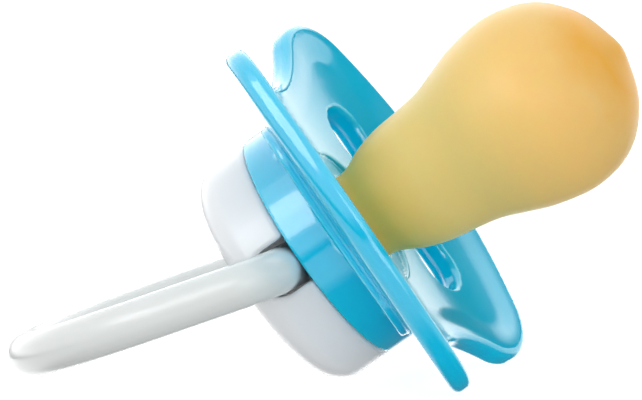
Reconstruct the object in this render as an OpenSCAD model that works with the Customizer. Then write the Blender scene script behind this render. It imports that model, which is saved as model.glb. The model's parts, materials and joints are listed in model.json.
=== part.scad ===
// Pacifier with a butterfly shield, a cherry-shaped latex teat and a swinging handle.
// The whole object lies as it does on a table: on the edge of its button and two wing tips,
// with the end of the handle down.  Z is up, and the teat points towards +X.

/* [Shield] */
// Width of the shield, cheek to cheek
shield_w = 47; // [42:0.5:58]
// Height of the shield over its wing tips
shield_h = 39; // [32:0.5:48]
// Height of the shield at its waist, between the nose and chin notches
waist_h = 29.8; // [24.6:0.1:31]
// Thickness of the plate
plate_t = 1.7; // [1.4:0.1:2.4]
// Thickness of the bead that runs round the rim
rim_t = 2.2; // [1.8:0.1:3]
// Width of the bead that runs round the rim
rim_w = 2.2; // [1.5:0.1:3]
// Radius to which the plate is bent towards the face, from cheek to cheek
bend_r = 65; // [55:1:110]
// Radius to which the plate is bent towards the face, from nose to chin
dish_r = 300; // [200:5:600]
// Radius of the rounded end of each wing tip
tip_r = 6.5; // [5:0.1:8]
// Distance from the side of the shield to the middle of a wing tip's round
tip_inset = 9.3; // [8.5:0.1:11]

/* [Vents] */
// Height of a vent
vent_h = 21; // [16:0.5:24]
// Width of a vent
vent_w = 6; // [5:0.1:7]
// Distance that a vent reaches out beyond the side of the collar
vent_reach = 2.7; // [1.7:0.1:4.7]
// Width of the raised frame round a vent, on the back
frame_w = 0.9; // [0.6:0.1:1.4]
// Height of the raised frame round a vent, on the back
frame_h = 0.8; // [0.4:0.1:1.2]
// Distance from a vent to its raised frame
frame_set = 0.5; // [0.3:0.1:1]

/* [Collar and button] */
// Outer diameter of the collar on the back of the shield
collar_d = 24.6; // [22:0.2:28]
// Wall of the collar
collar_wall = 1.7; // [1.2:0.1:2.2]
// Distance from the middle of the plate to the open end of the collar
collar_len = 4.35; // [3.8:0.05:6]
// Distance that the button stands out behind the collar
button_len = 6.6; // [6.4:0.1:9]
// Wall of the button
button_wall = 1.3; // [1:0.1:1.6]
// Radius of the button's rounded back edge
button_round = 3; // [2:0.1:4]
// Depth that the button's spigot reaches into the collar
spigot_len = 3; // [2:0.1:3.2]
// Wall of the button's spigot
spigot_wall = 1.1; // [0.8:0.1:1.4]
// How far the snap bead stands out of the spigot
snap_h = 0.25; // [0.15:0.05:0.4]

/* [Teat] */
// Diameter of the teat where it comes out of the shield
neck_d = 9; // [8:0.1:10]
// Diameter of the teat's swollen neck
swell_d = 13.7; // [12:0.1:15]
// Diameter of the cherry
cherry_d = 19.5; // [16:0.1:21]
// Length of the teat, from the middle of the plate to its tip
teat_len = 32; // [28:0.5:38]
// Wall of the teat
teat_wall = 1.6; // [1.2:0.1:2]
// Diameter of the flange that is clamped behind the plate
flange_d = 15.4; // [14:0.1:16]
// Thickness of the flange that is clamped behind the plate
flange_t = 1.2; // [0.9:0.1:1.4]

/* [Plug] */
// Thickness of the plug's disc
plug_t = 1.3; // [1:0.1:1.5]
// Length of the plug's stem, inside the teat
stem_len = 5; // [3:0.5:8]
// Diameter of the bore through the plug
plug_bore_d = 2; // [1:0.1:3]

/* [Handle] */
// Diameter of the handle's round section
handle_t = 4.4; // [4:0.1:4.8]
// Distance from the hinge axis to the middle of the section at the far end
handle_reach = 27.8; // [24:0.2:36]
// Bend radius of the two elbows beside the button
elbow_r = 3.4; // [3:0.1:4.5]

/* [Clearances] */
// Gap between pieces that are pushed together
fit_gap = 0.05; // [0.03:0.01:0.1]
// Gap between the hinge bar and the slot that holds it
hinge_gap = 0.3; // [0.15:0.05:0.4]
// Gap between the handle's legs and the side of the button
leg_gap = 0.25; // [0.2:0.05:1]
// Gap between the hinge bar and the open end of the collar
bar_gap = 0.1; // [0.05:0.05:0.3]

/* [Hidden] */
$fn = 96;
over = 0.5;

// The piece's own frame: Z runs along the teat, X points to the chin, Y to one cheek, and the
// origin is the middle of the plate.

// Outline of the shield: four tip rounds, two side arcs and two notch arcs, all tangent.
tip_x = shield_h / 2 - tip_r;
tip_y = shield_w / 2 - tip_inset;
side_in = shield_w / 2 - tip_r;
side_c = (tip_y * tip_y + tip_x * tip_x - side_in * side_in) / (2 * (tip_y - side_in));
side_r = shield_w / 2 - side_c;
notch_in = waist_h / 2 - tip_x;
notch_r = (tip_y * tip_y + notch_in * notch_in - tip_r * tip_r) / (2 * (tip_r - notch_in));
notch_c = waist_h / 2 + notch_r;
side_a = atan2(tip_x, tip_y - side_c);
tip_a = atan2(notch_c - tip_x, -tip_y);
notch_a = atan2(tip_x - notch_c, tip_y);
function arc(c, r, a0, a1, n) =
    [for (i = [0 : n - 1]) let (a = a0 + (a1 - a0) * i / n) c + r * [sin(a), cos(a)]];
function outline_quarter(inset) = concat(
    arc([0, side_c], side_r - inset, 0, side_a, 6),
    arc([tip_x, tip_y], tip_r - inset, side_a, tip_a, 12),
    arc([notch_c, 0], notch_r + inset, notch_a, -90, 8),
    [[notch_c - notch_r - inset, 0]]
);
// The rim's edge is stepped towards a full round.
edge_t = 0.55 * rim_t;
edge_step = 0.25 * rim_t;

// Collar, button and the pieces inside them
collar_r = collar_d / 2;
bore_r = collar_r - collar_wall;
spigot_r = bore_r - fit_gap;
button_r = collar_r - fit_gap;
seam_z = -collar_len - fit_gap;
spigot_z = seam_z + spigot_len;
button_z = -collar_len - button_len;
snap_z = seam_z + 0.75 * spigot_len;
snap_w = 0.4;
flange_z = -plate_t / 2 - fit_gap;
plug_z = flange_z - flange_t - fit_gap;
plug_r = spigot_r - spigot_wall - fit_gap;
lip_z = plug_z - plug_t - fit_gap;
lip_in = 0.9;
neck_r = neck_d / 2;
hole_r = neck_r + 0.1;
seat_r = neck_r + 2.7;
seat_z = 0.82 * plate_t / 2;
collar_top = 0.7 * plate_t / 2;
// A vent reaches inwards over the collar's wall, and goes right through outside the collar.
vent_in = bore_r + 0.15;
vent_through = collar_r + 0.3;
ledge_z = -0.12 * plate_t;

// Handle
bar_r = handle_t / 2;
slot_r = bar_r + hinge_gap;
bar_z = -collar_len - bar_gap - bar_r;
elbow_y = collar_r + leg_gap;
leg_y = elbow_y + elbow_r;

// Resting pose: the tangent line that touches both the button's round edge and the wing tips
foot_x = collar_r - fit_gap - button_round;
foot_z = button_z + button_round;
wing_z = bend_r - sqrt(bend_r * bend_r - tip_y * tip_y)
    + dish_r - sqrt(dish_r * dish_r - shield_h * shield_h / 4) - edge_t / 2;
span_x = shield_h / 2 - foot_x;
span_z = foot_z - wing_z;
rest_tilt = atan2(span_z, span_x) + acos(button_round / norm([span_x, span_z]));
function up(x, z) = z * sin(rest_tilt) - x * cos(rest_tilt);
function ahead(x, z) = x * sin(rest_tilt) + z * cos(rest_tilt);
floor_z = up(foot_x, foot_z) - button_round;
handle_drop = asin((up(0, bar_z) - floor_z - bar_r) / handle_reach);
handle_rest = rest_tilt - handle_drop;

// Teat: radius at stations along its axis, as shares of its length, joined by a smooth curve
cherry_r = cherry_d / 2;
stations = [
    [-0.02, neck_r], [0.06, neck_r + 0.012 * swell_d], [0.135, 0.42 * swell_d],
    [0.21, 0.471 * swell_d], [0.3, swell_d / 2], [0.38, 0.75 * cherry_r],
    [0.46, 0.845 * cherry_r], [0.54, 0.935 * cherry_r], [0.655, cherry_r],
    [0.75, 0.965 * cherry_r], [0.83, 0.865 * cherry_r], [0.89, 0.72 * cherry_r],
    [0.945, 0.505 * cherry_r], [0.98, 0.24 * cherry_r]
];
function spline(a, b, c, d, t) =
    0.5 * (2 * b + (c - a) * t + (2 * a - 5 * b + 4 * c - d) * t * t
    + (3 * b - a - 3 * c + d) * t * t * t);
function station(i) = stations[max(0, min(len(stations) - 1, i))];
curve = [
    for (i = [0 : len(stations) - 2], t = [0, 0.5])
        spline(station(i - 1), station(i), station(i + 1), station(i + 2), t)
];
last = stations[len(stations) - 1];
outer = concat([for (p = curve) [p[1], p[0] * teat_len]], [[last[1], last[0] * teat_len]]);
inner = [for (p = outer) if (p[1] < 0.95 * teat_len && p[0] > teat_wall + 1)
    [p[0] - teat_wall, p[1] * (1 - teat_wall / teat_len)]];
bore_teat_r = inner[0][0];
stem_r = bore_teat_r - fit_gap;

// Middle of the whole object along X, between the cherry and the far end of the handle
front_x = max([for (p = outer) ahead(p[0], p[1])]);
rear_x = ahead(0, bar_z) - handle_reach * cos(handle_drop) - bar_r;
middle_x = (front_x + rear_x) / 2;

module at_rest() {
    translate([-middle_x, 0, -floor_z]) rotate([0, 90 - rest_tilt, 0]) children();
}

module tube(r_out, r_in, z0, z1) {
    difference() {
        translate([0, 0, z0]) cylinder(r = r_out, h = z1 - z0);
        translate([0, 0, z0 - over]) cylinder(r = r_in, h = z1 - z0 + 2 * over);
    }
}

// The shield's outline, drawn in by inset all round
module shield_outline(inset) {
    q = outline_quarter(inset);
    n = len(q) - 1;
    polygon(concat(
        q, [for (i = [n - 1 : -1 : 0]) [q[i][0], -q[i][1]]],
        [for (i = [1 : n]) [-q[i][0], -q[i][1]]], [for (i = [n - 1 : -1 : 1]) [-q[i][0], q[i][1]]]
    ));
}

// A vent's outline: an upright slot with round ends, grown by grow, on the side of the sign
module vent_outline(side, grow) {
    end_r = vent_w / 2;
    end_x = vent_h / 2 - end_r;
    middle_y = side * (collar_r + vent_reach - end_r);
    polygon(concat(
        arc([end_x, middle_y], end_r + grow, 0, 180 + 180 / 12, 13),
        arc([-end_x, middle_y], end_r + grow, 180, 360 + 180 / 12, 13)
    ));
}

// The part of a sheet bent both ways that lies over the 2D children: the sheet is the outermost
// part of a ring with a thick round section.
module bent(back, front) {
    intersection() {
        translate([0, 0, dish_r]) rotate([90, 0, 0]) rotate_extrude($fn = 720)
            translate([dish_r - bend_r, 0]) difference() {
                circle(r = bend_r + back, $fn = 360);
                circle(r = bend_r - front, $fn = 360);
            }
        translate([0, 0, -shield_h / 4]) linear_extrude(shield_h / 2) children();
    }
}

module shield() {
    at_rest() color("deepskyblue") difference() {
        union() {
            bent(edge_t / 2, edge_t / 2) shield_outline(0);
            bent(plate_t / 2, plate_t / 2) shield_outline((edge_step + rim_w) / 2);
            bent(rim_t / 2, rim_t / 2) difference() {
                shield_outline(edge_step);
                shield_outline(rim_w);
            }
            for (side = [-1, 1]) bent(plate_t / 2 + frame_h, 0) difference() {
                vent_outline(side, frame_set + frame_w);
                vent_outline(side, frame_set);
            }
            translate([0, 0, -collar_len]) cylinder(r = collar_r, h = collar_len + collar_top);
        }
        // inside of the collar, with the groove for the snap bead
        translate([0, 0, -collar_len - over])
            cylinder(r = bore_r, h = collar_len + over - plate_t / 2);
        tube(bore_r + snap_h + fit_gap, bore_r - over, snap_z - snap_w - fit_gap,
            snap_z + snap_w + fit_gap);
        // hole for the neck of the teat, in a shallow flat seat
        translate([0, 0, -collar_len]) cylinder(r = hole_r, h = 2 * collar_len);
        translate([0, 0, seat_z]) cylinder(r = seat_r, h = collar_len);
        // vents, cut through the plate beside the collar and down to a ledge over its wall
        for (side = [-1, 1], cut = [[-plate_t - frame_h, vent_through], [ledge_z, vent_in]])
            difference() {
                translate([0, 0, cut[0]]) linear_extrude(3 * plate_t) vent_outline(side, 0);
                translate([0, 0, -3 * collar_len]) cylinder(r = cut[1], h = 6 * collar_len);
            }
    }
}

module teat() {
    at_rest() color("goldenrod") {
        rotate_extrude() polygon(concat(
            [[inner[0][0], flange_z - flange_t], [flange_d / 2, flange_z - flange_t],
                [flange_d / 2, flange_z], [neck_r, flange_z]],
            outer, [[0, teat_len]], [[0, teat_len - teat_wall]],
            [for (i = [len(inner) - 1 : -1 : 0]) inner[i]]
        ));
    }
}

module plug() {
    at_rest() color("lightskyblue") difference() {
        union() {
            translate([0, 0, plug_z - plug_t]) cylinder(r = plug_r, h = plug_t);
            translate([0, 0, plug_z - over]) cylinder(r = stem_r, h = over + flange_t + stem_len);
        }
        translate([0, 0, plug_z - plug_t - over])
            cylinder(d = plug_bore_d, h = plug_t + flange_t + stem_len + 2 * over);
    }
}

// Solid cap, turned from a profile with a round back edge
module cap(r, z_back, z_front, round_r) {
    rotate_extrude() intersection() {
        union() {
            translate([0, z_back]) square([r - round_r, z_front - z_back]);
            translate([0, z_back + round_r]) square([r, z_front - z_back - round_r]);
            translate([r - round_r, z_back + round_r]) circle(r = round_r);
        }
        translate([0, z_back]) square([r, z_front - z_back]);
    }
}

module button() {
    at_rest() color("white") difference() {
        union() {
            difference() {
                cap(button_r, button_z, seam_z, button_round);
                cap(spigot_r - spigot_wall, button_z + button_wall, seam_z + over,
                    button_round - button_wall / 2);
            }
            tube(spigot_r, spigot_r - spigot_wall, seam_z - over, spigot_z);
            tube(spigot_r - over, spigot_r - spigot_wall - lip_in, seam_z - over, lip_z);
            tube(spigot_r + snap_h, spigot_r - over, snap_z - snap_w, snap_z + snap_w);
        }
        // slot for the hinge bar, open towards the collar
        translate([0, 0, bar_z]) rotate([90, 0, 0])
            cylinder(r = slot_r, h = 3 * collar_r, center = true);
        translate([-slot_r, -1.5 * collar_r, bar_z])
            cube([2 * slot_r, 3 * collar_r, 2 * collar_len + slot_r]);
    }
}

module handle() {
    leg_end = handle_reach - leg_y;
    at_rest() translate([0, 0, bar_z]) rotate([0, handle_rest, 0]) color("whitesmoke") {
        rotate([90, 0, 0]) cylinder(r = bar_r, h = 2 * elbow_y, center = true);
        for (s = [-1, 1]) {
            translate([0, s * leg_y, -leg_end]) cylinder(r = bar_r, h = leg_end - elbow_r);
            translate([0, s * elbow_y, -elbow_r]) rotate([90, 0, 90])
                rotate([0, 0, s > 0 ? 0 : 90]) rotate_extrude(angle = 90)
                    translate([elbow_r, 0]) circle(r = bar_r);
        }
        translate([0, 0, -leg_end]) rotate([90, 0, 90]) rotate([0, 0, 180])
            rotate_extrude(angle = 180) translate([leg_y, 0]) circle(r = bar_r);
    }
}

shield();
teat();
plug();
button();
handle();
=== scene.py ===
import json

import bpy
import numpy as np
from bpy.props import FloatProperty, FloatVectorProperty, PointerProperty
from mathutils import Matrix, Vector


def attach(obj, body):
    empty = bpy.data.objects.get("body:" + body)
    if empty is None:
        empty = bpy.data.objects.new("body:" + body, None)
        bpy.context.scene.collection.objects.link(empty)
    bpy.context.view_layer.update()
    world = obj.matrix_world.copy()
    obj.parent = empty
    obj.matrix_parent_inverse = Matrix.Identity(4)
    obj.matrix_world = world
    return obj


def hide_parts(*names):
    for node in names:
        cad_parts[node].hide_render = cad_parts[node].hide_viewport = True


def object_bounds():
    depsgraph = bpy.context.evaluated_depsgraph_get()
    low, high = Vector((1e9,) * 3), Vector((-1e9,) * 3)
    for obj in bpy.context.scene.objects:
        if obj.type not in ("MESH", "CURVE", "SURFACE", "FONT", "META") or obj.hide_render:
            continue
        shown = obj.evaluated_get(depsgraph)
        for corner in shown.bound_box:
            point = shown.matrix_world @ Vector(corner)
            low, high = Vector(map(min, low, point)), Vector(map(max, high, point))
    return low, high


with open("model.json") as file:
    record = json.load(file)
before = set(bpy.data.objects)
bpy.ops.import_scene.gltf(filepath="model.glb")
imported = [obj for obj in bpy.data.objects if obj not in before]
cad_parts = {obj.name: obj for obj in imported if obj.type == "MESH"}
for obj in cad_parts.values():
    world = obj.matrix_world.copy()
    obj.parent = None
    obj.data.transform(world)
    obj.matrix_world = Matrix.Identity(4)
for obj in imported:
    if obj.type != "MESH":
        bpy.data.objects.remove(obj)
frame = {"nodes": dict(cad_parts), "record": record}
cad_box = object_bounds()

bl_info = {
    "name": "Pacifier",
    "version": (1, 0, 0),
    "blender": (4, 5, 0),
    "location": "3D View > Sidebar > Pacifier",
    "description": "Makes a pacifier with a butterfly shield, a latex teat, a button and a handle",
    "category": "Object",
}

MM = 0.001
HINGE_BACK = 6.65  # mm from the middle of the plate to the hinge axis


# The pacifier's own frame, in millimetres: Z runs along the teat, X points to the chin, Y to one
# cheek, and the origin is the middle of the shield's plate.

record = frame["record"]
back_mount = next(m for m in record["mounts"] if m["name"] == "button_back")
loop_mount = next(m for m in record["mounts"] if m["name"] == "handle_loop")
HINGE = Vector(record["behaviour"]["joints"][0]["pos_m"])
TEAT_WAY = -Vector(back_mount["axis"]).normalized()
CHEEK_WAY = Vector((0, 1, 0))
LOOP = Vector(loop_mount["pos_m"])


def placed(origin, z_way):
    """Matrix of a frame whose Z runs along z_way and whose Y points to the cheek."""
    x_way = CHEEK_WAY.cross(z_way)
    rows = Matrix((x_way, CHEEK_WAY, z_way)).transposed().to_4x4()
    return Matrix.Translation(origin) @ rows


def mm(length):
    return length / MM


# Sizes and colours

def size(name, value, what):
    return FloatProperty(name=name, description=what, default=value * MM, unit="LENGTH",
                         precision=5)


def colour(name, code, what):
    return FloatVectorProperty(name=name, description=what, default=linear(code)[:3], size=3,
                               min=0, max=1, subtype="COLOR")


def linear(code):
    """Linear RGBA of an sRGB hex colour."""
    parts = [int(code[i:i + 2], 16) / 255 for i in (1, 3, 5)]
    return tuple(c / 12.92 if c <= 0.04045 else ((c + 0.055) / 1.055) ** 2.4 for c in parts) + (1,)


class ShieldSettings(bpy.types.PropertyGroup):
    width: size("Width", 47, "Width of the shield, cheek to cheek")
    height: size("Height", 39, "Height of the shield over its wing tips")
    waist: size("Waist", 29.8, "Height of the shield between its two notches")
    plate: size("Plate", 1.7, "Thickness of the plate")
    rim: size("Rim", 2.2, "Thickness of the bead round the rim")
    bend: size("Bend", 65, "Radius to which the plate is bent, from cheek to cheek")
    dish: size("Dish", 300, "Radius to which the plate is bent, from nose to chin")
    tip: size("Tip radius", 6.5, "Radius of the rounded end of each wing tip")
    tip_inset: size("Tip inset", 9.3, "Distance from the side to the middle of a tip's round")
    vent_height: size("Vent height", 21, "Height of a vent")
    vent_width: size("Vent width", 6, "Width of a vent")
    vent_reach: size("Vent reach", 15, "Distance from the middle to a vent's outer side")
    collar: size("Collar", 24.6, "Outer diameter of the collar")
    collar_bore: size("Collar bore", 21.2, "Inner diameter of the collar")
    collar_length: size("Collar length", 4.35, "Distance from the plate to the collar's open end")
    blue: colour("Blue", "#00C0E4", "Colour of the shield's plastic")


class TeatSettings(bpy.types.PropertyGroup):
    length: size("Length", 32, "Length of the teat from the middle of the plate to its tip")
    neck: size("Neck", 9, "Diameter of the teat at the shield")
    swell: size("Swell", 13.7, "Diameter of the swollen neck")
    cherry: size("Cherry", 19.5, "Diameter of the cherry")
    wall: size("Wall", 1.6, "Thickness of the latex")
    flange: size("Flange", 15.4, "Diameter of the flange behind the plate")
    sag: size("Sag", 0.9, "How far the cherry hangs below the axis")
    amber: colour("Amber", "#F4CD7F", "Colour of the latex at the cherry")
    # painted light: the latex near the shield gets a brighter, warmer colour that stands in for
    # light lost in the shield's shade
    neck_painted_light: colour("Neck painted light", "#FFC463", "Colour of the latex near the shield")


class ButtonSettings(bpy.types.PropertyGroup):
    diameter: size("Diameter", 24.5, "Outer diameter of the button")
    back: size("Back", 10.95, "Distance from the middle of the plate to the button's back")
    seam: size("Seam", 4.4, "Distance from the middle of the plate to the button's front edge")
    round: size("Round", 3, "Radius of the rounded back edge")
    wall: size("Wall", 1.3, "Wall of the button")
    slot: size("Slot", 5.0, "Width of the slots that hold the hinge bar")
    white: colour("White", "#E6E9EC", "Colour of the button's plastic")


class HandleSettings(bpy.types.PropertyGroup):
    thickness: size("Thickness", 4.4, "Diameter of the handle's round section")
    elbow: size("Elbow", 3.4, "Bend radius of the two elbows beside the button")
    elbow_place: size("Elbow place", 12.55, "Distance from the middle to the start of an elbow")
    milk: colour("Milk", "#DCDFDE", "Colour of the handle's plastic")


class StageSettings(bpy.types.PropertyGroup):
    floor: FloatProperty(name="Floor", description="Half width of the floor", default=4,
                         unit="LENGTH")
    paper: colour("Floor colour", "#F4F4F4", "Colour of the floor")


# Skins of solids that are given as distance fields: the field is sampled on a grid, each cell that
# the surface crosses gets a point, and the points are moved onto the surface.

def smooth_max(a, b, k):
    h = np.maximum(k - np.abs(a - b), 0) / k
    return np.maximum(a, b) + h * h * k / 4


def smooth_min(a, b, k):
    return -smooth_max(-a, -b, k)


def rounded(a, b, r):
    """Where two faces meet with a round of radius r."""
    qa, qb = a + r, b + r
    return (np.hypot(np.maximum(qa, 0), np.maximum(qb, 0)) - r
            + np.minimum(np.maximum(qa, qb), 0))


def gradient(field, points, step=0.01):
    out = np.empty_like(points)
    for axis in range(3):
        shift = np.zeros(3)
        shift[axis] = step
        out[:, axis] = (field(points + shift) - field(points - shift)) / (2 * step)
    return out


def skin(name, field, low, high, cell):
    """Closed mesh of the solid where field is negative, with the field's own normals."""
    low, high = np.array(low, float), np.array(high, float)
    count = np.ceil((high - low) / cell).astype(int) + 1
    axes = [low[i] + cell * np.arange(count[i]) for i in range(3)]
    values = np.empty(count)
    for k, z in enumerate(axes[2]):
        x, y = np.meshgrid(axes[0], axes[1], indexing="ij")
        flat = np.stack([x.ravel(), y.ravel(), np.full(x.size, z)], 1)
        values[:, :, k] = field(flat).reshape(x.shape)
    inside = values < 0
    cells = count - 1
    total = np.zeros((*cells, 3))
    crossings = np.zeros(cells)
    for axis in range(3):
        a = [slice(None)] * 3
        b = [slice(None)] * 3
        a[axis], b[axis] = slice(0, -1), slice(1, None)
        va, vb = values[tuple(a)], values[tuple(b)]
        crossed = inside[tuple(a)] != inside[tuple(b)]
        part = np.where(crossed, va / np.where(crossed, va - vb, 1), 0)
        others = [i for i in range(3) if i != axis]
        for i in (0, 1):
            for j in (0, 1):
                pick = [slice(None)] * 3
                pick[others[0]] = slice(i, i + cells[others[0]])
                pick[others[1]] = slice(j, j + cells[others[1]])
                c = crossed[tuple(pick)]
                crossings += c
                total[..., axis] += part[tuple(pick)] * c
                total[..., others[0]] += i * c
                total[..., others[1]] += j * c
    used = crossings > 0
    number = np.full(cells, -1)
    number[used] = np.arange(used.sum())
    corner = np.argwhere(used)
    points = low + cell * (corner + total[used] / crossings[used][:, None])
    faces = []
    for axis in range(3):
        u, v = (axis + 1) % 3, (axis + 2) % 3
        a = [slice(1, -1)] * 3
        b = [slice(1, -1)] * 3
        a[axis], b[axis] = slice(0, -1), slice(1, None)
        ia, ib = inside[tuple(a)], inside[tuple(b)]
        at = np.argwhere(ia != ib)
        at[:, u] += 1
        at[:, v] += 1
        out = ia[ia != ib]
        ring = []
        for du, dv in ((-1, -1), (0, -1), (0, 0), (-1, 0)):
            near = at.copy()
            near[:, u] += du
            near[:, v] += dv
            ring.append(number[tuple(near.T)])
        ring = np.stack(ring, 1)
        ring[~out] = ring[~out][:, ::-1]
        faces.append(ring)
    faces = np.concatenate(faces)
    start = points.copy()
    for _ in range(4):
        slope = gradient(field, points)
        points -= slope * (field(points) / np.maximum((slope ** 2).sum(1), 0.25))[:, None]
        points = np.clip(points, start - cell, start + cell)
    slope = gradient(field, points)
    normals = slope / np.linalg.norm(slope, axis=1)[:, None]
    return mesh_object(name, points, faces, normals)


def mesh_object(name, points, faces, normals=None, own=None):
    """Object whose points are given in millimetres in the pacifier's own frame, or in own."""
    place = np.array(own or OWN)
    turn, shift = place[:3, :3], place[:3, 3]
    mesh = bpy.data.meshes.new(name)
    mesh.from_pydata((points * MM @ turn.T + shift).tolist(), [],
                     [list(map(int, f)) for f in faces])
    mesh.shade_smooth()
    if normals is not None:
        mesh.normals_split_custom_set_from_vertices((normals @ turn.T).tolist())
    obj = bpy.data.objects.new(name, mesh)
    bpy.context.scene.collection.objects.link(obj)
    return obj


# Shield

def outline_distance(x, y, s):
    """Distance to the butterfly outline, negative inside. It is made of tangent arcs."""
    x, y = np.abs(x), np.abs(y)
    half_w, half_h, tip = mm(s.width) / 2, mm(s.height) / 2, mm(s.tip)
    tx, ty = half_h - tip, half_w - mm(s.tip_inset)
    side_in = half_w - tip
    side_c = (ty * ty + tx * tx - side_in ** 2) / (2 * (ty - side_in))
    side_r = half_w - side_c
    notch_in = mm(s.waist) / 2 - tx
    notch_r = (ty * ty + notch_in ** 2 - tip ** 2) / (2 * (tip - notch_in))
    notch_c = mm(s.waist) / 2 + notch_r
    side_a = np.arctan2(tx, ty - side_c)
    tip_a = np.arctan2(notch_c - tx, -ty)
    notch_a = np.arctan2(tx - notch_c, ty)
    best = np.full(x.shape, 1e9)
    signed = np.zeros(x.shape)
    for cx, cy, r, a0, a1, turn in (
        (0, side_c, side_r, 0, side_a, 1), (tx, ty, tip, side_a, tip_a, 1),
        (notch_c, 0, notch_r, -np.pi / 2, notch_a, -1),
    ):
        angle = np.clip(np.arctan2(x - cx, y - cy), a0, a1)
        nx, ny = np.sin(angle), np.cos(angle)
        px, py = x - cx - r * nx, y - cy - r * ny
        away = np.hypot(px, py)
        outside = np.where(turn * (px * nx + py * ny) >= 0, away, -away)
        closer = away < best
        best = np.where(closer, away, best)
        signed = np.where(closer, outside, signed)
    return signed


def slot_distance(x, y, s):
    """Distance to the upright slot that a vent is cut from, negative inside."""
    end_r = mm(s.vent_width) / 2
    end_x = mm(s.vent_height) / 2 - end_r
    return np.hypot(np.maximum(np.abs(x) - end_x, 0),
                    np.abs(y) - (mm(s.vent_reach) - end_r)) - end_r


# Further sizes of the shield, in millimetres
RIM_ROUND = 0.85
RIM_WIDTH = 4.2  # the bead's width from the edge, and over how much of it the bead rises
RIM_RISE = 3.0
FRAME_SET = 0.5  # from a vent to its raised frame
FRAME_WIDTH = 0.9
FRAME_HEIGHT = 0.8
FRAME_ROUND = 0.3
FRAME_FILLET = 0.4
COLLAR_ROUND = 0.22
COLLAR_TOP = 0.55  # share of half the plate
COLLAR_FILLET = 0.7
THROUGH_GAP = 0.3  # a vent goes right through this far outside the collar
LEDGE_GAP = 0.15  # and over the collar's wall it stops at a ledge
LEDGE_Z = -0.2
VENT_CORNER = 1.6
VENT_EDGE = 0.5
BORE_EDGE = 0.3
TEAT_HOLE = 4.6
SEAT = 7.2
SEAT_Z = 0.7
SEAT_EDGE = 0.4
SHIELD_FRONT = 6
SHIELD_CELL = 0.28
MARGIN = 0.6  # room that the grid leaves round a solid


def shield_field(s):
    """Field of the shield: a plate bent both ways, with its bead, frames, collar and openings."""
    bend, dish, half, rim = mm(s.bend), mm(s.dish), mm(s.plate) / 2, mm(s.rim) / 2
    collar, bore, length = mm(s.collar) / 2, mm(s.collar_bore) / 2, mm(s.collar_length)

    def field(p):
        x, y, z = p.T
        level = bend - np.hypot(y, np.hypot(x, dish - z) - dish + bend)
        out = outline_distance(x, y, s)
        rise = np.clip((out + RIM_WIDTH) / RIM_RISE, 0, 1)
        rise = rise * rise * (3 - 2 * rise)
        plate = rounded(np.abs(level) - (half + (rim - half) * rise), out, RIM_ROUND)
        slot = slot_distance(x, y, s)
        beside = np.abs(slot - FRAME_SET - FRAME_WIDTH / 2) - FRAME_WIDTH / 2
        raised = rounded(np.maximum(-level - half - FRAME_HEIGHT, level), beside, FRAME_ROUND)
        solid = smooth_min(plate, raised, FRAME_FILLET)
        radius = np.hypot(x, y)
        tube = rounded(-length - z, radius - collar, COLLAR_ROUND)
        tube = np.maximum(tube, z - COLLAR_TOP * half)
        solid = smooth_min(solid, tube, COLLAR_FILLET)
        through = smooth_max(slot, collar + THROUGH_GAP - radius, VENT_CORNER)
        over_wall = smooth_max(slot, bore + LEDGE_GAP - radius, VENT_CORNER)
        over_wall = np.maximum(over_wall, LEDGE_Z - z)
        solid = smooth_max(solid, -through, VENT_EDGE)
        solid = smooth_max(solid, -over_wall, VENT_EDGE)
        pocket = np.maximum(radius - bore, z + half)
        solid = smooth_max(solid, -pocket, BORE_EDGE)
        seat = np.maximum(radius - SEAT, SEAT_Z - z)
        solid = smooth_max(solid, -seat, SEAT_EDGE)
        return smooth_max(solid, TEAT_HOLE - radius, SEAT_EDGE)

    return field


class OBJECT_OT_pacifier_shield(bpy.types.Operator):
    """Makes the butterfly shield with its vents, rim bead and collar"""
    bl_idname = "object.pacifier_shield"
    bl_label = "Make shield"

    def execute(self, context):
        s = context.scene.pacifier_shield
        reach = (mm(s.height) / 2 + MARGIN, mm(s.width) / 2 + MARGIN)
        shield = skin("shield_moulding", shield_field(s),
                      (-reach[0], -reach[1], -mm(s.collar_length) - MARGIN),
                      (reach[0], reach[1], SHIELD_FRONT), SHIELD_CELL)
        shield.data.materials.append(polypropylene("polypropylene_blue_moulded", s.blue))
        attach(shield, "pacifier")
        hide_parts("shield")
        return {"FINISHED"}


# Teat

ON_AXIS = 1e-6
TEAT_SIDES = 128
FLANGE_TOP, FLANGE_THICK, FLANGE_ROUND = -0.9, 1.2, 0.25  # mm
FLAT_FROM, FLAT_SHARE = 25.0, 0.87  # beyond this many mm, heights shrink to this share
TEAT_STATIONS = (
    # share of the length, which diameter, and the share of it
    (-0.02, "neck", 1), (0.06, "neck", 1.036), (0.135, "swell", 0.84), (0.21, "swell", 0.942),
    (0.3, "swell", 1), (0.38, "cherry", 0.75), (0.46, "cherry", 0.845), (0.54, "cherry", 0.935),
    (0.655, "cherry", 1), (0.75, "cherry", 0.965), (0.83, "cherry", 0.865),
    (0.89, "cherry", 0.72), (0.945, "cherry", 0.505), (0.98, "cherry", 0.24),
)


def smooth_line(points, steps):
    """Catmull-Rom curve through the points."""
    p = np.array(points, float)
    p = np.concatenate([[2 * p[0] - p[1]], p, [2 * p[-1] - p[-2]]])
    out = []
    for a, b, c, d in zip(p, p[1:], p[2:], p[3:]):
        for t in np.arange(steps) / steps:
            out.append(0.5 * (2 * b + (c - a) * t + (2 * a - 5 * b + 4 * c - d) * t * t
                              + (3 * b - a - 3 * c + d) * t ** 3))
    return np.array(out + [p[-2]])


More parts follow.
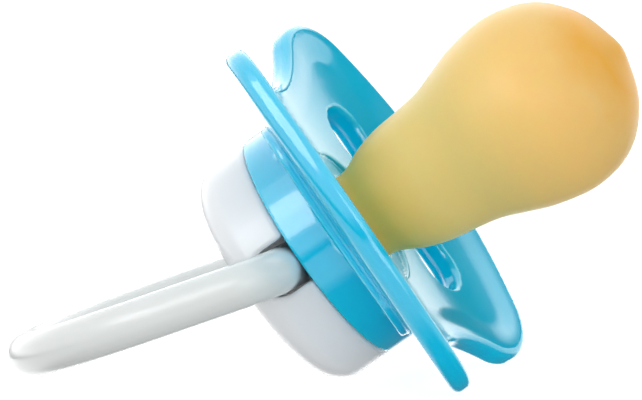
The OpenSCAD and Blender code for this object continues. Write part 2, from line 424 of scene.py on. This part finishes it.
def turned(profile, sides):
    """Points and faces of a closed profile of (radius, height), turned about Z."""
    turn = 2 * np.pi * np.arange(sides) / sides
    points, rings = [], []
    for r, z in profile:
        if r < ON_AXIS:
            rings.append([len(points)])
            points.append((0, 0, z))
        else:
            rings.append(list(range(len(points), len(points) + sides)))
            points += [(r * np.cos(a), r * np.sin(a), z) for a in turn]
    faces = []
    closed = len(rings[0]) > 1 and len(rings[-1]) > 1
    pairs = list(zip(rings, rings[1:] + rings[:1]))
    for a, b in pairs if closed else pairs[:-1]:
        for i in range(sides):
            j = (i + 1) % sides
            if len(a) == 1:
                faces.append((a[0], b[j], b[i]))
            elif len(b) == 1:
                faces.append((a[i], a[j], b[0]))
            else:
                faces.append((a[i], a[j], b[j], b[i]))
    return np.array(points), faces


class OBJECT_OT_pacifier_teat(bpy.types.Operator):
    """Makes the hollow cherry-shaped teat with its flange"""
    bl_idname = "object.pacifier_teat"
    bl_label = "Make teat"

    def execute(self, context):
        s = context.scene.pacifier_teat
        length, wall = mm(s.length), mm(s.wall)
        line = [(mm(getattr(s, key)) / 2 * share, at * length) for at, key, share in TEAT_STATIONS]
        last_r, last_z = line[-1]
        outer = smooth_line(line + [(0, length), (-last_r, last_z)], 6)[:-6]
        outer[-1] = (0, length)
        inner = np.array([(r - wall, z * (1 - wall / length)) for r, z in outer
                          if r > wall + 0.6 and z < 0.97 * length])
        flange, top, bottom = mm(s.flange) / 2, FLANGE_TOP, FLANGE_TOP - FLANGE_THICK
        profile = np.concatenate([
            [(inner[0][0], bottom), (flange - FLANGE_ROUND, bottom),
             (flange, bottom + FLANGE_ROUND), (flange, top - FLANGE_ROUND),
             (flange - FLANGE_ROUND, top), (outer[0][0] + 0.2, top), (outer[0][0], top + 0.15)],
            outer, [(0, length - wall)], inner[::-1]])
        points, faces = hollow(profile, TEAT_SIDES)
        # the tip is pressed a little flat
        flat = points[:, 2] > FLAT_FROM
        points[flat, 2] = FLAT_FROM + FLAT_SHARE * (points[flat, 2] - FLAT_FROM)
        z = np.clip(points[:, 2] / length, 0, None)
        points[:, 0] += mm(s.sag) * np.minimum(z / 0.75, 1) ** 0.8
        teat = mesh_object("latex_teat", points, faces)
        teat.data.materials.append(latex(s))
        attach(teat, "pacifier")
        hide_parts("teat")
        return {"FINISHED"}


def hollow(profile, sides):
    """Turns a loop that touches the axis twice. It is turned from the axis inside the tip, down
    the bore, round the flange and up the outside to the tip."""
    outer_tip, inner_tip = [i for i, (r, _) in enumerate(profile) if r < ON_AXIS]
    return turned(np.concatenate([profile[inner_tip:], profile[:outer_tip + 1]]), sides)


# Button. Further sizes, in millimetres, with heights from the middle of the plate.

SPIGOT, SPIGOT_BORE, SPIGOT_END = 10.55, 9.45, -1.4
SPIGOT_ROUND = 0.2
SNAP_Z, SNAP_ROUND, SNAP_SINK = -2.15, 0.4, 0.15
LIP_BORE, LIP_Z, LIP_HALF = 8.55, -4.2, 0.7  # the ring inside that the plug rests on
GATE = 0.75  # radius of the gate's mark in the middle of the back
SEAM_EDGE, ROOM_EDGE, GATE_EDGE, SLOT_EDGE = 0.45, 0.25, 0.15, 0.5
BUTTON_FRONT = -0.8
BUTTON_CELL = 0.27


def button_field(s):
    """Field of the button: a round pot with a spigot, a snap bead, a ring inside and two slots."""
    radius, back, seam = mm(s.diameter) / 2, -mm(s.back), -mm(s.seam)
    edge, wall, slot = mm(s.round), mm(s.wall), mm(s.slot) / 2
    bar = mm((HINGE - OWN.translation).dot(TEAT_WAY))

    def pot(r, z, size_r, floor, corner):
        return rounded(r - size_r, floor - z, corner)

    def field(p):
        x, y, z = p.T
        r = np.hypot(x, y)
        body = smooth_max(pot(r, z, radius, back, edge), z - seam, SEAM_EDGE)
        neck = rounded(r - SPIGOT, z - SPIGOT_END, SPIGOT_ROUND)
        neck = np.maximum(neck, back + 2 * wall - z)
        snap = np.hypot(r - SPIGOT + SNAP_SINK, z - SNAP_Z) - SNAP_ROUND
        solid = np.minimum(np.minimum(body, neck), snap)
        room = pot(r, z, SPIGOT_BORE, back + wall, edge - wall / 2)
        lip = np.maximum(np.maximum(LIP_BORE - r, r - SPIGOT_BORE - 0.3),
                         np.abs(z - LIP_Z) - LIP_HALF)
        room = np.maximum(room, -lip)
        solid = smooth_max(solid, -room, ROOM_EDGE)
        notch = np.hypot(x, np.minimum(z - bar, 0)) - slot
        gate = np.hypot(r, (z - back) * 2) - GATE
        solid = smooth_max(solid, -gate, GATE_EDGE)
        return smooth_max(solid, -notch, SLOT_EDGE)

    return field


class OBJECT_OT_pacifier_button(bpy.types.Operator):
    """Makes the white button with its spigot and the two slots for the hinge bar"""
    bl_idname = "object.pacifier_button"
    bl_label = "Make button"

    def execute(self, context):
        s = context.scene.pacifier_button
        reach = mm(s.diameter) / 2 + MARGIN
        button = skin("white_button", button_field(s), (-reach, -reach, -mm(s.back) - MARGIN),
                      (reach, reach, BUTTON_FRONT), BUTTON_CELL)
        button.data.materials.append(white_plastic(s.white))
        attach(button, "pacifier")
        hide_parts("button")
        return {"FINISHED"}


# Handle

HANDLE_SIDES = 40


def handle_path(s, reach):
    """Middle line of the closed handle, in the plane of Y and Z, from the middle of the bar."""
    elbow, start = mm(s.elbow), mm(s.elbow_place)
    leg = start + elbow
    end = reach - leg
    half = [(y, 0) for y in np.linspace(0, start, 14)[:-1]]
    half += [(start + elbow * np.sin(a), elbow - elbow * np.cos(a))
             for a in np.linspace(0, np.pi / 2, 15)]
    half += [(leg, z) for z in np.linspace(elbow, end, 9)[1:-1]]
    half += [(leg * np.cos(a), end + leg * np.sin(a)) for a in np.linspace(0, np.pi / 2, 41)]
    half = np.array(half)
    other = half[-2:0:-1] * (-1, 1)
    return np.concatenate([half, other])


class OBJECT_OT_pacifier_handle(bpy.types.Operator):
    """Makes the milky handle that swings in the button's slots"""
    bl_idname = "object.pacifier_handle"
    bl_label = "Make handle"

    def execute(self, context):
        s = context.scene.pacifier_handle
        reach = mm((LOOP - HINGE).length)
        path = handle_path(s, reach)
        radius, sides = mm(s.thickness) / 2, HANDLE_SIDES
        way = np.roll(path, -1, 0) - np.roll(path, 1, 0)
        way /= np.linalg.norm(way, axis=1)[:, None]
        across = np.stack([way[:, 1], -way[:, 0]], 1)
        turn = 2 * np.pi * np.arange(sides) / sides
        points = []
        for (y, z), (ay, az) in zip(path, across):
            points += [(radius * np.sin(a), y + ay * radius * np.cos(a),
                        z + az * radius * np.cos(a)) for a in turn]
        rings = len(path)
        faces = []
        for i in range(rings):
            n = (i + 1) % rings
            for j in range(sides):
                k = (j + 1) % sides
                faces.append((i * sides + j, n * sides + j, n * sides + k, i * sides + k))
        handle = mesh_object("milky_handle", np.array(points), faces,
                             own=placed(HINGE, (LOOP - HINGE).normalized()))
        handle.data.materials.append(milky_plastic(s.milk))
        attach(handle, "handle")
        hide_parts("handle")
        return {"FINISHED"}


class OBJECT_OT_pacifier_plug(bpy.types.Operator):
    """Gives the plug inside the teat its plastic"""
    bl_idname = "object.pacifier_plug"
    bl_label = "Finish plug"

    def execute(self, context):
        plug = frame["nodes"]["plug"]
        blue = context.scene.pacifier_shield.blue
        material = polypropylene("polypropylene_blue_plug", blue)
        plug.data.materials.clear()
        plug.data.materials.append(material)
        return {"FINISHED"}


# Materials. Pattern scales are one over the real size of the pattern in metres.

def add(tree, kind, sockets=None, **settings):
    """Adds a node, sets it, and fills its sockets with values or with other nodes' outputs."""
    node = tree.nodes.new("ShaderNode" + kind)
    for name, value in settings.items():
        setattr(node, name, value)
    for name, value in (sockets or {}).items():
        if isinstance(value, bpy.types.NodeSocket):
            tree.links.new(value, node.inputs[name])
        else:
            node.inputs[name].default_value = value
    return node


def new_material(name, **shader):
    """Material with one Principled shader, whose constant sockets are set here."""
    material = bpy.data.materials.new(name)
    material.use_nodes = True
    tree = material.node_tree
    tree.nodes.clear()
    sockets = {key.replace("_", " ").title().replace("Ior", "IOR"): value
               for key, value in shader.items()}
    main = add(tree, "BsdfPrincipled", sockets)
    add(tree, "OutputMaterial", {"Surface": main.outputs["BSDF"]})
    own = add(tree, "TexCoord").outputs["Object"]
    return material, tree, main, own


def shade(rgb, factor):
    return tuple(min(1, c * factor) for c in rgb) + (1,)


def polypropylene(name, blue):
    """Polypropylene, injection moulded in a polished tool: a glossy skin with a faint wave, and a
    body that lets a little light through at thin rims."""
    material, tree, main, own = new_material(
        name, ior=1.49, subsurface_weight=0.5, subsurface_radius=(0.25, 0.8, 1.0),
        subsurface_scale=2.0 * MM, specular_ior_level=0.5)
    # flow marks about 7 mm long
    flow = add(tree, "TexNoise", {"Vector": own, "Scale": 1 / (7 * MM), "Detail": 2.0})
    tone = add(tree, "Mix", {"Factor": flow.outputs["Fac"], "A": shade(blue, 0.94),
                             "B": shade(blue, 1.05)}, data_type="RGBA")
    # polish: the tool leaves the roughness a little uneven over about 3 mm
    polish = add(tree, "TexNoise", {"Vector": own, "Scale": 1 / (3 * MM), "Detail": 3.0})
    rough = add(tree, "MapRange", {"Value": polish.outputs["Fac"], "To Min": 0.07, "To Max": 0.14})
    wave = add(tree, "TexNoise", {"Vector": own, "Scale": 1 / (2.2 * MM), "Detail": 1.0})
    bump = add(tree, "Bump", {"Height": wave.outputs["Fac"], "Strength": 0.25,
                              "Distance": 0.03 * MM})
    tree.links.new(mixed(tone), main.inputs["Base Color"])
    tree.links.new(rough.outputs["Result"], main.inputs["Roughness"])
    tree.links.new(bump.outputs["Normal"], main.inputs["Normal"])
    return material


def colours(ramp, stops):
    """Sets the stops of a colour ramp, given from low to high."""
    row = ramp.color_ramp.elements
    row.remove(row[1])
    row[0].position, row[0].color = stops[0]
    for place, rgb in stops[1:]:
        row.new(place).color = rgb


def mixed(mix):
    """Colour output of a Mix node."""
    return next(o for o in mix.outputs if o.type == "RGBA")


def white_plastic(white):
    """Polypropylene, white, injection moulded: opaque, evenly bright, with a soft gloss."""
    material, tree, main, own = new_material(
        "polypropylene_white_moulded", ior=1.49, specular_ior_level=0.25, subsurface_weight=0.85,
        subsurface_radius=(1.0, 1.0, 1.0), subsurface_scale=3.4 * MM)
    flow = add(tree, "TexNoise", {"Vector": own, "Scale": 1 / (6 * MM), "Detail": 2.0})
    tone = add(tree, "Mix", {"Factor": flow.outputs["Fac"], "A": shade(white, 0.97),
                             "B": shade(white, 1.0)}, data_type="RGBA")
    polish = add(tree, "TexNoise", {"Vector": own, "Scale": 1 / (2 * MM), "Detail": 3.0})
    rough = add(tree, "MapRange", {"Value": polish.outputs["Fac"], "To Min": 0.2, "To Max": 0.3})
    bump = add(tree, "Bump", {"Height": polish.outputs["Fac"], "Strength": 0.2,
                              "Distance": 0.02 * MM})
    tree.links.new(mixed(tone), main.inputs["Base Color"])
    tree.links.new(rough.outputs["Result"], main.inputs["Roughness"])
    tree.links.new(bump.outputs["Normal"], main.inputs["Normal"])
    return material


def milky_plastic(milk):
    """Polypropylene without pigment, injection moulded: milky, light spreads inside it, and the
    skin has a soft gloss that is a little uneven."""
    material, tree, main, own = new_material(
        "polypropylene_natural_moulded", ior=1.49, specular_ior_level=0.3, subsurface_weight=0.85,
        subsurface_radius=(1.0, 1.05, 1.0), subsurface_scale=2.2 * MM)
    flow = add(tree, "TexNoise", {"Vector": own, "Scale": 1 / (9 * MM), "Detail": 2.0})
    tone = add(tree, "Mix", {"Factor": flow.outputs["Fac"], "A": shade(milk, 0.95),
                             "B": shade(milk, 1.0)}, data_type="RGBA")
    polish = add(tree, "TexNoise", {"Vector": own, "Scale": 1 / (1.5 * MM), "Detail": 3.0})
    rough = add(tree, "MapRange", {"Value": polish.outputs["Fac"], "To Min": 0.16,
                                   "To Max": 0.28})
    bump = add(tree, "Bump", {"Height": polish.outputs["Fac"], "Strength": 0.25,
                              "Distance": 0.03 * MM})
    tree.links.new(mixed(tone), main.inputs["Base Color"])
    tree.links.new(rough.outputs["Result"], main.inputs["Roughness"])
    tree.links.new(bump.outputs["Normal"], main.inputs["Normal"])
    return material


def latex(s):
    """Natural latex, dipped on a smooth former: satin, amber, see-through enough to glow, with
    paler clouds, and near the shield a brighter, warmer copy of the latex colour: painted light
    that lifts the shield's shade and offsets its blue bounce."""
    material, tree, main, own = new_material(
        "natural_latex_dipped", ior=1.52, specular_ior_level=0.2, subsurface_weight=0.8,
        subsurface_radius=(1.0, 0.6, 0.3), subsurface_scale=1.4 * MM)
    height = add(tree, "VectorMath", {0: own, 1: TEAT_WAY}, operation="DOT_PRODUCT")
    base = OWN.translation.dot(TEAT_WAY)
    cloud = add(tree, "TexNoise", {"Vector": own, "Scale": 1 / (6 * MM), "Detail": 3.0})
    along = add(tree, "MapRange", {"Value": height.outputs["Value"], "From Min": base,
                                   "From Max": base + s.length})
    shift = add(tree, "Math", {0: cloud.outputs["Fac"], 1: 0.14, 2: along.outputs["Result"]},
                operation="MULTIPLY_ADD")
    neck_painted_light, amber = tuple(s.neck_painted_light), tuple(s.amber)
    ramp = add(tree, "ValToRGB", {"Fac": shift.outputs["Value"]})
    # up to a sixth of the length the ramp holds the brighter, warmer neck colour, painted light
    # against the shield's shade and blue bounce, then blends into the amber
    colours(ramp, ((0.02, shade(neck_painted_light, 1.0)), (0.16, shade(neck_painted_light, 1.0)),
                   (0.34, shade(amber, 1.08)), (0.75, shade(amber, 0.99)),
                   (0.9, shade(amber, 0.93)), (1.0, linear("#EAAE3C"))))
    grain = add(tree, "TexNoise", {"Vector": own, "Scale": 1 / (0.9 * MM), "Detail": 4.0})
    rough = add(tree, "MapRange", {"Value": grain.outputs["Fac"], "To Min": 0.34, "To Max": 0.5})
    bump = add(tree, "Bump", {"Height": grain.outputs["Fac"], "Strength": 0.3,
                              "Distance": 0.06 * MM})
    tree.links.new(ramp.outputs["Color"], main.inputs["Base Color"])
    tree.links.new(rough.outputs["Result"], main.inputs["Roughness"])
    tree.links.new(bump.outputs["Normal"], main.inputs["Normal"])
    return material


def opal_acrylic(paper):
    """Opal acrylic of a light table: pale, matt, and lit from below so that shadows stay soft."""
    material, tree, main, own = new_material(
        "opal_acrylic_matt", roughness=0.9, specular_ior_level=0.1, emission_strength=0.9,
        emission_color=(1, 1, 1, 1))
    cloud = add(tree, "TexNoise", {"Vector": own, "Scale": 1 / (40 * MM), "Detail": 1.0})
    tone = add(tree, "Mix", {"Factor": cloud.outputs["Fac"], "A": shade(paper, 0.2),
                             "B": shade(paper, 0.22)}, data_type="RGBA")
    tree.links.new(mixed(tone), main.inputs["Base Color"])
    return material


# Stage

CAMERA_AZIMUTH, CAMERA_HEIGHT, CAMERA_ROLL = 10.0, 5.1, -0.55  # degrees
CAMERA_FAR = 1.13  # m
LENS, SENSOR = 657.0, 36.0  # mm
AIM_RIGHT, AIM_UP = -3.28, 2.03  # mm, from the middle of the plate
SEEN_WHITE, SOFT_LIGHT, GLOSS_LIGHT = 1.05, 0.76, 2.5  # strengths of the sky
GAP_WAY = (-0.427, -0.126, 0.895)  # across the dark gap over the backdrop
GLOSS_STOPS = (
    # place along GAP_WAY from below, and how bright
    (0.0, 0.05), (0.36, 0.08), (0.5, 0.85), (0.854, 0.85), (0.859, 0.03), (0.9, 0.03),
    (0.957, 0.6), (1.0, 1.2),
)
PANELS = (
    # name, place (m), aims at, width, height, power (W), and whether only gloss shows it
    ("panel_left", (-0.55, -0.50, 0.42), (0, 0, 0.01), 0.45, 0.45, 0.9, False),
    ("panel_top", (0.05, 0.0, 0.75), (0, 0, 0.0), 0.5, 0.5, 0.3, False),
    ("panel_gloss", (-0.45, -0.70, 0.34), (0, 0, 0.01), 0.5, 0.4, 4.0, True),
    ("panel_fill", (0.25, -0.85, 0.04), (0, 0, 0.02), 0.5, 0.5, 3.2, False),
)


def panel(name, place, target, width, height, power, gloss_only):
    data = bpy.data.lights.new(name, "AREA")
    data.shape = "RECTANGLE"
    data.size, data.size_y, data.energy = width, height, power
    lamp = bpy.data.objects.new(name, data)
    lamp.location = place
    way = Vector(target) - Vector(place)
    lamp.rotation_euler = way.to_track_quat("-Z", "Y").to_euler()
    lamp.visible_camera = False
    lamp.visible_diffuse = not gloss_only
    bpy.context.scene.collection.objects.link(lamp)


class OBJECT_OT_pacifier_stage(bpy.types.Operator):
    """Makes the floor, the lights, the sky and the camera"""
    bl_idname = "object.pacifier_stage"
    bl_label = "Make stage"

    def execute(self, context):
        scene = context.scene
        s = scene.pacifier_stage
        half = s.floor
        mesh = bpy.data.meshes.new("floor")
        mesh.from_pydata([(-half, -half, 0), (half, -half, 0), (half, half, 0), (-half, half, 0)],
                         [], [(0, 1, 2, 3)])
        floor = bpy.data.objects.new("floor", mesh)
        floor.location.z = cad_box[0].z - 0.05 * MM
        floor.data.materials.append(opal_acrylic(s.paper))
        scene.collection.objects.link(floor)
        floor.visible_glossy = False
        floor.visible_diffuse = False
        for row in PANELS:
            panel(*row)
        world = bpy.data.worlds.new("studio")
        scene.world = world
        world.use_nodes = True
        tree = world.node_tree
        tree.nodes.clear()
        seen = add(tree, "LightPath").outputs
        white = add(tree, "Background", {"Color": (1, 1, 1, 1), "Strength": SEEN_WHITE})
        soft = add(tree, "Background", {"Color": (1, 1, 1, 1), "Strength": SOFT_LIGHT})
        # what gloss reflects: dark below, a bright backdrop, a dark gap over it, then the ceiling
        way = add(tree, "TexCoord").outputs["Generated"]
        over = add(tree, "VectorMath", {0: way, 1: GAP_WAY}, operation="DOT_PRODUCT")
        level = add(tree, "MapRange", {"Value": over.outputs["Value"], "From Min": -1.0,
                                       "From Max": 0.15})
        tone = add(tree, "ValToRGB", {"Fac": level.outputs["Result"]})
        colours(tone, [(place, (v, v, v, 1)) for place, v in GLOSS_STOPS])
        dim = add(tree, "Background", {"Color": tone.outputs["Color"], "Strength": GLOSS_LIGHT})
        gloss = add(tree, "MixShader", {0: seen["Is Glossy Ray"], 1: soft.outputs[0],
                                        2: dim.outputs[0]})
        sky = add(tree, "MixShader", {0: seen["Is Camera Ray"], 1: gloss.outputs[0],
                                      2: white.outputs[0]})
        add(tree, "OutputWorld", {"Surface": sky.outputs[0]})
        scene.view_settings.view_transform = "Standard"

        data = bpy.data.cameras.new("camera")
        data.lens, data.sensor_width = LENS, SENSOR
        camera = bpy.data.objects.new("camera", data)
        az, el = np.radians(CAMERA_AZIMUTH), np.radians(CAMERA_HEIGHT)
        back = Vector((np.sin(az) * np.cos(el), -np.cos(az) * np.cos(el), np.sin(el)))
        turn = (-back).to_track_quat("-Z", "Y").to_matrix()
        turn = turn @ Matrix.Rotation(np.radians(CAMERA_ROLL), 3, "Z")
        right, up = turn.col[0], turn.col[1]
        aim = OWN.translation + (right * AIM_RIGHT + up * AIM_UP) * MM
        camera.matrix_world = Matrix.Translation(aim + back * CAMERA_FAR) @ turn.to_4x4()
        data.clip_start, data.clip_end = 0.05, 50
        scene.collection.objects.link(camera)
        scene.camera = camera
        return {"FINISHED"}


class VIEW3D_PT_pacifier(bpy.types.Panel):
    """Lists the pacifier's pieces and their sizes"""
    bl_idname = "VIEW3D_PT_pacifier"
    bl_label = "Pacifier"
    bl_space_type = "VIEW_3D"
    bl_region_type = "UI"
    bl_category = "Pacifier"

    def draw(self, context):
        for name, operator in STEPS:
            box = self.layout.box()
            box.operator(operator)
            group = getattr(context.scene, "pacifier_" + name, None)
            for key in getattr(type(group), "__annotations__", {}):
                box.prop(group, key)


STEPS = (
    ("shield", "object.pacifier_shield"), ("teat", "object.pacifier_teat"),
    ("button", "object.pacifier_button"), ("handle", "object.pacifier_handle"),
    ("plug", "object.pacifier_plug"), ("stage", "object.pacifier_stage"),
)
GROUPS = {"shield": ShieldSettings, "teat": TeatSettings, "button": ButtonSettings,
          "handle": HandleSettings, "stage": StageSettings}
CLASSES = (
    *GROUPS.values(), OBJECT_OT_pacifier_shield, OBJECT_OT_pacifier_teat,
    OBJECT_OT_pacifier_button, OBJECT_OT_pacifier_handle, OBJECT_OT_pacifier_plug,
    OBJECT_OT_pacifier_stage, VIEW3D_PT_pacifier,
)
OWN = placed(HINGE + HINGE_BACK * MM * TEAT_WAY, TEAT_WAY)


def register():
    for cls in CLASSES:
        bpy.utils.register_class(cls)
    for name, group in GROUPS.items():
        setattr(bpy.types.Scene, "pacifier_" + name, PointerProperty(type=group))


def unregister():
    for name in GROUPS:
        delattr(bpy.types.Scene, "pacifier_" + name)
    for cls in reversed(CLASSES):
        bpy.utils.unregister_class(cls)


def main():
    register()
    for _, operator in STEPS:
        if getattr(bpy.ops.object, operator.split(".")[1])() != {"FINISHED"}:
            raise RuntimeError(operator + " did not finish")
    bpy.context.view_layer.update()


if __name__ == "__main__":
    main()
